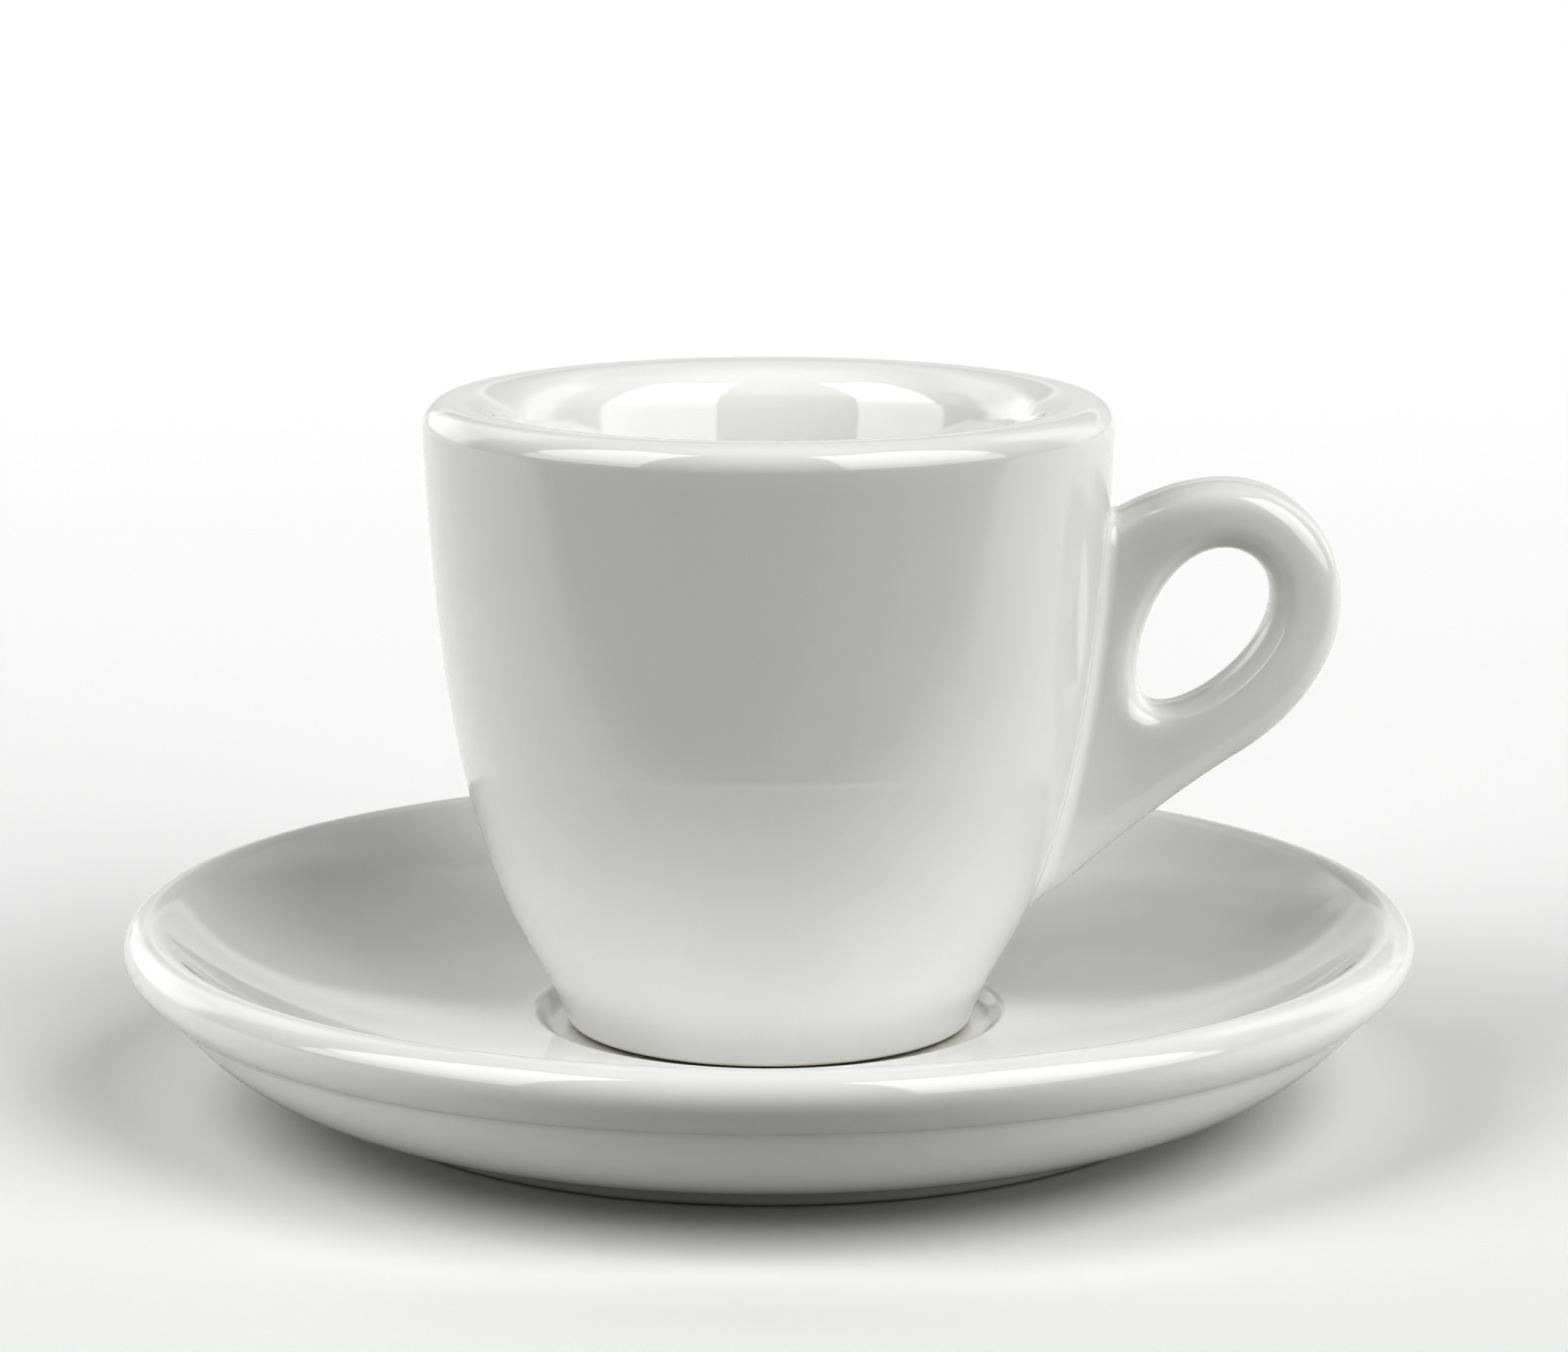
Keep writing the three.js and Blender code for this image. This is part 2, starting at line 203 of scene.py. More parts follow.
def away(start, run, slope):
    """The point that lies a run away from start, at a slope above level."""
    return (start[0] + run * math.cos(slope), start[1] + run * math.sin(slope))


def bezier(controls, steps):
    """Points along a Bezier curve, its start left out."""
    controls = np.array(controls, float)
    degree = len(controls) - 1
    t = np.arange(1, steps + 1)[:, None] / steps
    weights = [math.comb(degree, k) * t**k * (1 - t) ** (degree - k) for k in range(degree + 1)]
    return np.hstack(weights) @ controls


class Section:
    """A line in the half plane of radius and height, from the axis under a piece to the axis above it."""

    spacing = 0.0008

    def __init__(self, start):
        self.points = [tuple(start)]

    def line(self, end):
        start = self.points[-1]
        steps = max(1, math.ceil(math.dist(start, end) / self.spacing))
        self.points += [tuple(p) for p in np.linspace(start, end, steps + 1)[1:]]

    def curve(self, *controls, steps=24):
        self.points += [tuple(p) for p in bezier([self.points[-1], *controls], steps)]

    def corner(self, corner, toward, size):
        """A line that turns at a corner, rounded, towards the next point."""
        start = np.array(self.points[-1])
        corner = np.array(corner)
        back = start - corner
        on = np.array(toward) - corner
        trim = min(size, np.linalg.norm(back) / 2, np.linalg.norm(on) / 2)
        self.line(corner + back / np.linalg.norm(back) * trim)
        self.curve(corner, corner + on / np.linalg.norm(on) * trim, steps=8)

    def arc(self, centre, radius, turn, steps=20):
        """An arc from the last point, round centre."""
        start = math.atan2(self.points[-1][1] - centre[1], self.points[-1][0] - centre[0])
        self.points += [away(centre, radius, start + turn * i / steps) for i in range(1, steps + 1)]


def well_floor(saucer):
    """Height of the floor that the cup stands on."""
    return saucer.height - saucer.dish_depth - saucer.well_depth


def saucer_section(size):
    """The saucer's section."""
    radius = size.diameter / 2
    foot_outer = size.foot_diameter / 2
    foot_inner = foot_outer - size.foot_width
    foot_top = (foot_outer + size.foot_round, size.foot_height)
    band_foot = (radius - size.band_taper, size.height - size.band_height)
    step = (band_foot[0] - size.step, band_foot[1] - size.step / 2)
    section = Section((0, size.base_recess))
    section.corner((foot_inner - size.foot_round, size.base_recess), (foot_inner, 0), size.foot_round)
    section.corner((foot_inner, 0), (foot_outer, 0), size.foot_round)
    section.corner((foot_outer, 0), foot_top, size.foot_round)
    section.line(foot_top)

    # The underside is nearly level over the foot and swells on its way up to the step.
    along = np.subtract(step, foot_top)
    along /= np.linalg.norm(along)
    swell = np.array((along[1], -along[0])) * 2 * size.bulge
    section.curve(np.add(foot_top, step) / 2 + swell, step, steps=28)
    section.line(band_foot)

    # The band outside the rim, then the rim's round top.
    rim = (radius - size.rim_round, size.height - size.rim_round)
    section.curve((radius, (band_foot[1] + rim[1]) / 2), (radius, rim[1]), steps=12)
    section.arc(rim, size.rim_round, math.pi / 2 + size.wall_angle)

    # The dish, down to the edge of the well.
    edge = size.height - size.dish_depth
    well = size.well_diameter / 2
    top = section.points[-1]
    foot = (well + size.well_round, edge)
    run = (top[0] - foot[0]) / 2
    wall = away(top, -min(run, size.dish_depth), size.wall_angle)
    section.curve(wall, away(foot, run, size.floor_angle), foot, steps=64)

    # The well.
    floor = well_floor(size)
    section.corner((well, edge), (well - size.well_depth, floor), size.well_round)
    section.corner((well - size.well_depth, floor), (0, floor), size.well_round)
    section.line((0, floor))
    return section.points


def cup_bottom(sizes):
    """Height of the cup's foot."""
    return well_floor(sizes.saucer) + sizes.cup.seat_gap


def cup_wall(sizes):
    """The outside of the cup, from over the foot's edge up to the lip's widest circle."""
    size = sizes.cup
    bottom = cup_bottom(sizes)
    start = (size.foot_diameter / 2, bottom + size.foot_edge)
    end = (size.lip_diameter / 2, bottom + size.height - size.lip_outer_round)
    foot = away(start, size.foot_run, math.pi / 2 - size.foot_draft)
    belly = away(end, -size.belly_run, math.pi / 2 - size.wall_draft)
    return [start, foot, belly, end]


def cup_section(sizes):
    """The cup's section."""
    size = sizes.cup
    bottom = cup_bottom(sizes)
    wall = cup_wall(sizes)
    half_edge = size.foot_edge / 2
    foot_outer = (wall[0][0] - half_edge, bottom)
    foot_inner = (foot_outer[0] - size.foot_width, bottom)
    recess = (foot_inner[0] - half_edge, bottom + size.foot_recess)
    section = Section((0, recess[1]))
    section.corner(recess, foot_inner, half_edge)
    section.corner(foot_inner, foot_outer, half_edge)
    section.corner(foot_outer, wall[0], half_edge)
    section.line(wall[0])
    section.curve(*wall[1:], steps=80)

    # The lip is round outside and in, with a level land between.
    top = bottom + size.height
    crest = wall[3][0] - size.lip_outer_round
    section.arc((crest, wall[3][1]), size.lip_outer_round, math.pi / 2)
    crest -= size.lip_land
    section.arc((crest, top - size.lip_inner_round), size.lip_inner_round, math.pi / 2 - size.bore_draft)

    # The bore runs down to a rounded floor.
    floor = bottom + size.foot_recess + size.base
    bore = away(section.points[-1], -size.bore_wall_run, math.pi / 2 - size.bore_draft)
    section.curve(bore, (size.bore_floor_run, floor), (0, floor), steps=80)
    return section.points


# Turned pieces


def link(tree, *pairs):
    """Joins each output to an input."""
    for output, socket in pairs:
        tree.links.new(output, socket)


def math_node(tree, operation, a, b=None, c=None):
    """A Math node on outputs or plain numbers, and its output."""
    node = tree.nodes.new("ShaderNodeMath")
    node.operation = operation
    for socket, value in zip(node.inputs, (a, b, c)):
        if isinstance(value, bpy.types.NodeSocket):
            tree.links.new(value, socket)
        elif value is not None:
            socket.default_value = value
    return node.outputs[0]


def turning_tree():
    """A node tree that turns a row of points, X the radius and Z the height, round the Z axis."""
    tree = bpy.data.node_groups.new("turned_on_the_wheel", "GeometryNodeTree")
    tree.is_modifier = True
    sockets = tree.interface
    sockets.new_socket("Section", in_out="INPUT", socket_type="NodeSocketGeometry")
    sockets.new_socket("Turning Steps", in_out="INPUT", socket_type="NodeSocketInt")
    sockets.new_socket("Glaze", in_out="INPUT", socket_type="NodeSocketMaterial")
    sockets.new_socket("Piece", in_out="OUTPUT", socket_type="NodeSocketGeometry")
    new = tree.nodes.new
    given = new("NodeGroupInput").outputs
    count = new("GeometryNodeAttributeDomainSize")
    grid = new("GeometryNodeMeshGrid")
    place = new("GeometryNodeInputPosition")
    on_grid = new("ShaderNodeSeparateXYZ")
    sample = new("GeometryNodeSampleIndex")
    sample.data_type = "FLOAT_VECTOR"
    on_section = new("ShaderNodeSeparateXYZ")
    turned = new("ShaderNodeCombineXYZ")
    move = new("GeometryNodeSetPosition")
    close = new("GeometryNodeMergeByDistance")
    close.inputs["Distance"].default_value = 1e-7
    smooth = new("GeometryNodeSetShadeSmooth")
    realize = new("GeometryNodeRealizeInstances")
    material = new("GeometryNodeSetMaterial")
    result = new("NodeGroupOutput").inputs
    grid.inputs["Size X"].default_value = 1
    grid.inputs["Size Y"].default_value = 1
    link(
        tree,
        (given["Section"], count.inputs["Geometry"]),
        (count.outputs["Point Count"], grid.inputs["Vertices X"]),
        (math_node(tree, "ADD", given["Turning Steps"], 1), grid.inputs["Vertices Y"]),
        (place.outputs[0], on_grid.inputs[0]),
        (given["Section"], sample.inputs["Geometry"]),
        (place.outputs[0], sample.inputs["Value"]),
    )

    # The grid's X counts along the section, and its Y is the share of a turn.
    share = math_node(tree, "ADD", on_grid.outputs["X"], 0.5)
    last = math_node(tree, "SUBTRACT", count.outputs["Point Count"], 1)
    row = math_node(tree, "ROUND", math_node(tree, "MULTIPLY", share, last))
    turn = math_node(tree, "MULTIPLY", on_grid.outputs["Y"], -2 * math.pi)
    radius = on_section.outputs["X"]
    link(
        tree,
        (row, sample.inputs["Index"]),
        (sample.outputs["Value"], on_section.inputs[0]),
        (math_node(tree, "MULTIPLY", radius, math_node(tree, "COSINE", turn)), turned.inputs["X"]),
        (math_node(tree, "MULTIPLY", radius, math_node(tree, "SINE", turn)), turned.inputs["Y"]),
        (on_section.outputs["Z"], turned.inputs["Z"]),
        (grid.outputs["Mesh"], move.inputs["Geometry"]),
        (turned.outputs[0], move.inputs["Position"]),
        (move.outputs["Geometry"], close.inputs["Geometry"]),
        (close.outputs["Geometry"], smooth.inputs["Geometry"]),
        (smooth.outputs["Geometry"], realize.inputs["Geometry"]),
        (realize.outputs["Geometry"], material.inputs["Geometry"]),
        (given["Glaze"], material.inputs["Material"]),
        (material.outputs["Geometry"], result["Piece"]),
    )
    return tree


def turn_piece(name, section, glaze, steps):
    """A piece turned from a section, as a plain mesh."""
    tree = bpy.data.node_groups.get("turned_on_the_wheel") or turning_tree()
    mesh = bpy.data.meshes.new(name)
    mesh.from_pydata([(r, 0, z) for r, z in section], [(i, i + 1) for i in range(len(section) - 1)], [])
    piece = bpy.data.objects.new(name, mesh)
    bpy.context.scene.collection.objects.link(piece)
    modifier = piece.modifiers.new("Turning", "NODES")
    modifier.node_group = tree
    inputs = {item.name: item.identifier for item in tree.interface.items_tree if item.in_out == "INPUT"}
    modifier[inputs["Turning Steps"]] = steps
    modifier[inputs["Glaze"]] = glaze
    graph = bpy.context.evaluated_depsgraph_get()
    turned = bpy.data.meshes.new_from_object(piece.evaluated_get(graph))
    piece.modifiers.remove(modifier)
    piece.data = turned
    bpy.data.meshes.remove(mesh)
    turned.name = name
    if not turned.polygons:
        raise RuntimeError(f"{name} came out empty")
    return piece


# Handle


def even(line, spacing):
    """A closed line in the handle's plane, with its points evenly spaced."""
    closed = np.vstack([line, line[:1]])
    run = np.concatenate([[0], np.cumsum(np.linalg.norm(np.diff(closed, axis=0), axis=1))])
    picks = np.linspace(0, run[-1], math.ceil(run[-1] / spacing) + 1)[:-1]
    return np.stack([np.interp(picks, run, closed[:, k]) for k in range(2)], axis=1)


def spread(line, count):
    """An open line in space, with count even stretches."""
    run = np.concatenate([[0], np.cumsum(np.linalg.norm(np.diff(line, axis=0), axis=1))])
    picks = np.linspace(0, run[-1], count + 1)
    return np.stack([np.interp(picks, run, line[:, k]) for k in range(3)], axis=1)


def edge_distance(points, outline):
    """How far points lie outside a closed outline, negative inside it, and which way leads out."""
    side = np.roll(outline, -1, axis=0) - outline
    length_squared = (side**2).sum(1)
    rise = np.where(side[:, 1] == 0, 1e-30, side[:, 1])
    far = np.empty(len(points))
    out = np.empty((len(points), 2))
    for first in range(0, len(points), 2000):
        batch = slice(first, first + 2000)
        p = points[batch]
        dx = p[:, :1] - outline[:, 0]
        dy = p[:, 1:] - outline[:, 1]
        along = np.clip((dx * side[:, 0] + dy * side[:, 1]) / length_squared, 0, 1)
        near = ((dx - along * side[:, 0]) ** 2 + (dy - along * side[:, 1]) ** 2).argmin(1)
        share = np.take_along_axis(along, near[:, None], 1)
        apart = p - outline[near] - share * side[near]
        reach = np.maximum(np.linalg.norm(apart, axis=1), 1e-12)
        over = outline[:, 1] > p[:, 1:]
        crosses = over != np.roll(over, -1, axis=1)
        inside = (crosses & (dx < dy / rise * side[:, 0])).sum(1) % 2 == 1
        sign = np.where(inside, -1, 1)
        far[batch] = sign * reach
        out[batch] = apart * (sign / reach)[:, None]
    return far, out


class HandleForm:
    """The handle as distances in space: a rounded plate with a hole, and the wall it runs into."""

    spacing = 0.00015

    def __init__(self, sizes):
        size = sizes.handle
        self.size = size
        self.bottom = cup_bottom(sizes)
        self.lip = self.bottom + sizes.cup.height
        controls = cup_wall(sizes)
        self.wall = np.vstack([controls[0], bezier(controls, 400)])
        self.wall_slope = np.gradient(self.wall[:, 0], self.wall[:, 1])
        self.half = size.thickness / 2
        self.round = size.band_top / 2
        self.fillet = size.fillet
        egg = self.egg(np.linspace(0, 2 * math.pi, 721)[:-1])
        high = self.lip - size.crown_drop - size.band_top - egg[:, 1].max()
        reach = (self.wall_radius(egg[:, 1] + high) + size.web - egg[:, 0]).max()
        self.centre = np.array((reach, high))
        self.hole = even(egg + self.centre, self.spacing)
        self.outline = even(self.outer_outline(), self.spacing)

    def egg(self, turn):
        """The hole's edge round its own middle."""
        size = self.size
        along = size.hole_length / 2 * np.cos(turn)
        across = size.hole_width / 2 * np.sin(turn) * (1 + size.hole_egg * np.cos(turn))
        c = math.cos(size.hole_tilt)
        s = math.sin(size.hole_tilt)
        return np.stack([along * c - across * s, along * s + across * c], axis=-1)

    def wall_radius(self, z):
        """The cup's outside radius at a height."""
        return np.interp(z, self.wall[:, 1], self.wall[:, 0])

    def outer_outline(self):
        """The plate's closed outline: the band, the tail, the toe, and the root sunk in the wall."""
        size = self.size
        turn = np.linspace(0, 2 * math.pi, 1441)[:-1]
        ahead = self.egg(turn + 1e-4) - self.egg(turn - 1e-4)
        normal = np.stack([ahead[:, 1], -ahead[:, 0]], axis=1) / np.linalg.norm(ahead, axis=1)[:, None]
        facing = np.arctan2(normal[:, 1], normal[:, 0])
        shoulder = size.tail_angle - math.pi / 2
        kept = np.where((facing <= math.pi / 2) & (facing >= shoulder))[0]
        kept = kept[np.argsort(-facing[kept])]
        share = (math.pi / 2 - facing[kept]) / (math.pi / 2 - shoulder)
        width = size.band_top + (size.band_tail - size.band_top) * share
        band = self.egg(turn[kept]) + self.centre + normal[kept] * width[:, None]

        # The tail runs down to the toe, which turns back to the wall.
        tail = band[-1]
        toe_high = self.bottom + size.tail_rise
        toe = (float(self.wall_radius(toe_high)), toe_high)
        toe_end = away(toe, size.toe_length, size.toe_angle)
        bend = away(tail, -size.tail_run, size.tail_angle)
        back = np.subtract(toe, toe_end)
        on = np.subtract(bend, toe_end)
        trim = min(size.toe_length, np.linalg.norm(back) / 2, np.linalg.norm(on) / 2)
        heel = toe_end + on / np.linalg.norm(on) * trim
        ball = toe_end + back / np.linalg.norm(back) * trim
        under = bezier([tail, bend, heel], 80)
        toes = bezier([heel, toe_end, ball], 24)

        # The crown falls towards the wall.
        crown = band[0]
        top_high = crown[1] - size.crown_fall
        root = np.array((float(self.wall_radius(top_high)), top_high))
        lean = np.array((crown[0] - size.crown_run, crown[1]))
        fall = (root - lean) / np.linalg.norm(root - lean)
        crown_line = bezier([root, lean, crown], 60)[:-1]
        sunk = [away(toe, -size.thickness, size.toe_angle), root + fall * size.thickness, root]
        return np.vstack([band, under, toes, sunk, crown_line])

    def plate(self, place):
        """How far points lie outside the rounded plate, the way out, and how far past its edge they are."""
        flat = place[:, [0, 2]]
        rim, rim_out = edge_distance(flat, self.outline)
        hole, hole_out = edge_distance(flat, self.hole)
        inner = -hole > rim
        edge = np.where(inner, -hole, rim)
        way = np.where(inner[:, None], -hole_out, rim_out)
        a = np.maximum(edge + self.round, 0) / self.round
        b = np.maximum(np.abs(place[:, 1]) / self.half, 1e-6)
        p = self.size.fullness
        reach = (a**p + b**p) ** (1 / p)
        level = ((a / reach) ** (p - 1) / self.round)[:, None] * way
        across = np.copysign((b / reach) ** (p - 1) / self.half, place[:, 1])
        slope = np.stack([level[:, 0], across, level[:, 1]], axis=1)
        steep = np.linalg.norm(slope, axis=1)
        return (reach - 1) / steep, slope / steep[:, None], edge

    def from_wall(self, place):
        """How far points lie outside the cup's wall, and which way leads out."""
        slope = np.interp(place[:, 2], self.wall[:, 1], self.wall_slope)
        out = np.hypot(place[:, 0], place[:, 1])
        lean = np.hypot(1, slope)
        way = np.stack([place[:, 0] / out, place[:, 1] / out, -slope], axis=1) / lean[:, None]
        return (out - self.wall_radius(place[:, 2])) / lean, way

    def set_apart(self, place, plate_gap, wall_gap, rounds=3):
        """Moves points to given distances from the plate and from the wall."""
        for _ in range(rounds):
            plate, plate_way, _ = self.plate(place)
            wall, wall_way = self.from_wall(place)
            lean = (plate_way * wall_way).sum(1)
            square = np.maximum(1 - lean**2, 0.1)
            plate_miss = plate_gap - plate
            wall_miss = wall_gap - wall
            along_plate = (plate_miss - lean * wall_miss) / square
            along_wall = (wall_miss - lean * plate_miss) / square
            place = place + along_plate[:, None] * plate_way + along_wall[:, None] * wall_way
        place[[0, -1], 1] = 0
        return place

    def root_ring(self, count):
        """The front half of the ring on the wall where the fillet runs out, from its top to its foot."""
        high = np.linspace(self.wall[0, 1], self.wall[-1, 1], 300)
        middle = np.stack([self.wall_radius(high), 0 * high, high], axis=1)
        root = high[self.plate(middle)[0] < self.fillet]
        tall = (root[-1] - root[0]) / 2
        wide = self.half + self.fillet
        turn = np.linspace(0, math.pi, 181)
        y = -wide * np.sin(turn)
        z = root[0] + tall + (tall - wide) * np.clip(np.cos(turn) * 4, -1, 1) + wide * np.cos(turn)
        ring = np.stack([np.sqrt(self.wall_radius(z) ** 2 - y**2), y, z], axis=1)
        for _ in range(3):
            ring = spread(self.set_apart(ring, self.fillet, 0), count)
        return self.set_apart(ring, self.fillet, 0)

    def fillet_lines(self, ring, steps):
        """Lines from the plate over the fillet down to the ring on the wall."""
        lines = [ring]
        for turn in np.linspace(0, math.pi / 2, steps + 1)[1:]:
            plate_gap = self.fillet * (1 - math.sin(turn))
            wall_gap = self.fillet * (1 - math.cos(turn))
            lines.append(self.set_apart(lines[-1], plate_gap, wall_gap))
        return np.stack(lines[::-1], axis=1)

    def free_edge(self, start, end, count):
        """The plate's edge in its middle plane from start, at the toe, round to end, at the crown."""
        flat = np.stack([self.outline[:, 0], 0 * self.outline[:, 0], self.outline[:, 1]], axis=1)
        clear = self.from_wall(flat)[0] > self.fillet
        first = np.where(clear & ~np.roll(clear, 1))[0][0]
        free = np.roll(flat, -first, axis=0)[: clear.sum()]
        return spread(np.vstack([start, free[::-1], end]), count)[1:-1]

    def face_lines(self, outer, across):
        """Lines from the hole's edge over the front face to each outer point."""
        turn = np.unwrap(np.arctan2(outer[:, 2] - self.centre[1], outer[:, 0] - self.centre[0]))
        egg = self.egg(np.linspace(0, 2 * math.pi, 2881))
        egg_turn = np.unwrap(np.arctan2(egg[:, 1], egg[:, 0]))
        turn = egg_turn[0] + np.mod(turn - egg_turn[0], 2 * math.pi)
        inner = np.stack([np.interp(turn, egg_turn, egg[:, k]) for k in range(2)], axis=1) + self.centre
        share = (1 - np.cos(np.linspace(0, math.pi, across + 1))) / 2
        level = inner[:, None] + (outer[:, None, [0, 2]] - inner[:, None]) * share[:, None]
        place = np.stack([level[..., 0], 0 * level[..., 0], level[..., 1]], axis=-1).reshape(-1, 3)
        edge = np.clip(self.plate(place)[2] / self.round + 1, 0, 1)
        p = self.size.fullness
        place[:, 1] = -self.half * (1 - edge**p) ** (1 / p)
        place = place.reshape(len(outer), across + 1, 3)
        place[:, 0, 1] = 0
        place[:, -1] = outer
        return place


def build_handle(sizes, glaze):
    """The handle as an object: its front face and fillet, mirrored, and closed inside the cup's wall."""
    form = HandleForm(sizes)
    around = 260
    on_root = 104
    fillet_steps = 9
    face_steps = 56
    sharp = 1.2
    fillet = form.fillet_lines(form.root_ring(on_root), fillet_steps)
    root = fillet[:, 0]
    free = form.free_edge(root[-1], root[0], around - on_root)
    face = form.face_lines(np.vstack([root, free]), face_steps)
    shape = bmesh.new()
    rings = []
    for mirror in (1, -1):
        over_face = [[shape.verts.new(p * (1, mirror, 1)) for p in line] for line in face]
        over_fillet = [[shape.verts.new(p * (1, mirror, 1)) for p in line] for line in fillet]
        over_face.append(over_face[0])
        rings.append([line[-1] for line in over_fillet])
        for lines in (over_face, over_fillet):
            for one, other in zip(lines, lines[1:]):
                for k in range(len(one) - 1):
                    shape.faces.new((one[k], other[k], other[k + 1], one[k + 1]))
    for i in range(on_root):
        shape.faces.new((rings[0][i], rings[0][i + 1], rings[1][i + 1], rings[1][i]))
    bmesh.ops.remove_doubles(shape, verts=shape.verts, dist=1e-7)
    bmesh.ops.dissolve_degenerate(shape, dist=1e-8, edges=shape.edges)
    bmesh.ops.recalc_face_normals(shape, faces=shape.faces)
    for face in shape.faces:
        face.smooth = True
    for edge in shape.edges:
        edge.smooth = len(edge.link_faces) == 2 and edge.calc_face_angle() < sharp
    mesh = bpy.data.meshes.new("handle_glazed")
    shape.to_mesh(mesh)
    shape.free()
    mesh.materials.append(glaze)
    piece = bpy.data.objects.new("handle_glazed", mesh)
    bpy.context.scene.collection.objects.link(piece)
    return piece


# Porcelain


def mix_colour(tree, factor, a, b):
    """Mixes two colours by a factor."""
    node = tree.nodes.new("ShaderNodeMix")
    node.data_type = "RGBA"
    for socket, value in ((node.inputs[0], factor), (node.inputs[6], a), (node.inputs[7], b)):
        if isinstance(value, bpy.types.NodeSocket):
            tree.links.new(value, socket)
        else:
            socket.default_value = value
    return node.outputs[2]


def ramp(tree, value, low, high, start=0.0, end=1.0):
    """Maps a value's range smoothly onto another."""
    node = tree.nodes.new("ShaderNodeMapRange")
    node.interpolation_type = "SMOOTHSTEP"
    tree.links.new(value, node.inputs["Value"])
    for name, number in (("From Min", low), ("From Max", high), ("To Min", start), ("To Max", end)):
        node.inputs[name].default_value = number
    return node.outputs["Result"]


def noise(tree, place, scale, detail):
    """A noise texture's value."""
    node = tree.nodes.new("ShaderNodeTexNoise")
    node.inputs["Scale"].default_value = scale
    node.inputs["Detail"].default_value = detail
    tree.links.new(place, node.inputs["Vector"])
    return node.outputs["Fac"]


def glaze_group():
    """A shader group for glazed porcelain: cloudy glaze, specks, soft ripples and a bare foot ring."""
    tree = bpy.data.node_groups.get("glazed_porcelain")
    if tree:
        return tree
    tree = bpy.data.node_groups.new("glazed_porcelain", "ShaderNodeTree")
    sockets = tree.interface
    for name in ("Glaze", "Thick Glaze", "Speck", "Biscuit"):
        sockets.new_socket(name, in_out="INPUT", socket_type="NodeSocketColor")
    sockets.new_socket("Foot Height", in_out="INPUT", socket_type="NodeSocketFloat")
    sockets.new_socket("Colour", in_out="OUTPUT", socket_type="NodeSocketColor")
    for name in ("Roughness", "Height"):
        sockets.new_socket(name, in_out="OUTPUT", socket_type="NodeSocketFloat")
    given = tree.nodes.new("NodeGroupInput").outputs
    result = tree.nodes.new("NodeGroupOutput").inputs
    place = tree.nodes.new("ShaderNodeTexCoord").outputs["Object"]
    split = tree.nodes.new("ShaderNodeSeparateXYZ")
    tree.links.new(place, split.inputs[0])

    # Clouds of thicker glaze, some 20 mm across.
    cloud = ramp(tree, noise(tree, place, 50, 3), 0.38, 0.66)
    tint = mix_colour(tree, cloud, given["Glaze"], given["Thick Glaze"])

    # A few small iron specks.
    cells = tree.nodes.new("ShaderNodeTexVoronoi")
    cells.inputs["Scale"].default_value = 233
    tree.links.new(place, cells.inputs["Vector"])
    pick = tree.nodes.new("ShaderNodeSeparateColor")
    tree.links.new(cells.outputs["Color"], pick.inputs[0])
    chosen = math_node(tree, "GREATER_THAN", pick.outputs["Red"], 0.992)
    dot = ramp(tree, cells.outputs["Distance"], 0.02, 0.05, 1, 0)
    speck = math_node(tree, "MULTIPLY", math_node(tree, "MULTIPLY", chosen, dot), 0.75)
    tint = mix_colour(tree, speck, tint, given["Speck"])

    # The glaze is wiped off the foot ring, with a slightly uneven edge.
    over_foot = math_node(tree, "SUBTRACT", split.outputs["Z"], given["Foot Height"])
    uneven = math_node(tree, "MULTIPLY_ADD", noise(tree, place, 400, 2), 0.0003, over_foot)
    bare = ramp(tree, uneven, 0.0003, 0.00055, 1, 0)
    tint = mix_colour(tree, bare, tint, given["Biscuit"])
    gloss = ramp(tree, noise(tree, place, 120, 4), 0.3, 0.7, 0.015, 0.035)
    rough = math_node(tree, "ADD", gloss, math_node(tree, "MULTIPLY", bare, 0.55))

    # Soft ripples in the glaze, and the grain of the bare foot.
    ripple = math_node(tree, "MULTIPLY", noise(tree, place, 140, 2), 0.02)
    grain = math_node(tree, "MULTIPLY", noise(tree, place, 4000, 3), math_node(tree, "MULTIPLY", bare, 0.05))
    link(
        tree,
        (tint, result["Colour"]),
        (rough, result["Roughness"]),
        (math_node(tree, "ADD", ripple, grain), result["Height"]),
    )
    return tree


def porcelain(name, finish, foot_height):
    """A glazed porcelain material whose bare foot lies at a height."""
    material = bpy.data.materials.get(name)
    if material:
        return material
    material = bpy.data.materials.new(name)
    material.use_nodes = True
    tree = material.node_tree
    shader = tree.nodes["Principled BSDF"]
    shader.inputs["IOR"].default_value = 1.52
    group = tree.nodes.new("ShaderNodeGroup")
    group.node_tree = glaze_group()
    group.inputs["Glaze"].default_value = (*finish.glaze, 1)
    group.inputs["Thick Glaze"].default_value = (*finish.thick_glaze, 1)
    group.inputs["Speck"].default_value = (*finish.speck, 1)
    group.inputs["Biscuit"].default_value = (*finish.biscuit, 1)
    group.inputs["Foot Height"].default_value = foot_height
    bump = tree.nodes.new("ShaderNodeBump")
    bump.inputs["Strength"].default_value = 0.5
    bump.inputs["Distance"].default_value = 0.001
    link(
        tree,
        (group.outputs["Colour"], shader.inputs["Base Color"]),
        (group.outputs["Roughness"], shader.inputs["Roughness"]),
        (group.outputs["Height"], bump.inputs["Height"]),
        (bump.outputs["Normal"], shader.inputs["Normal"]),
    )
    return material


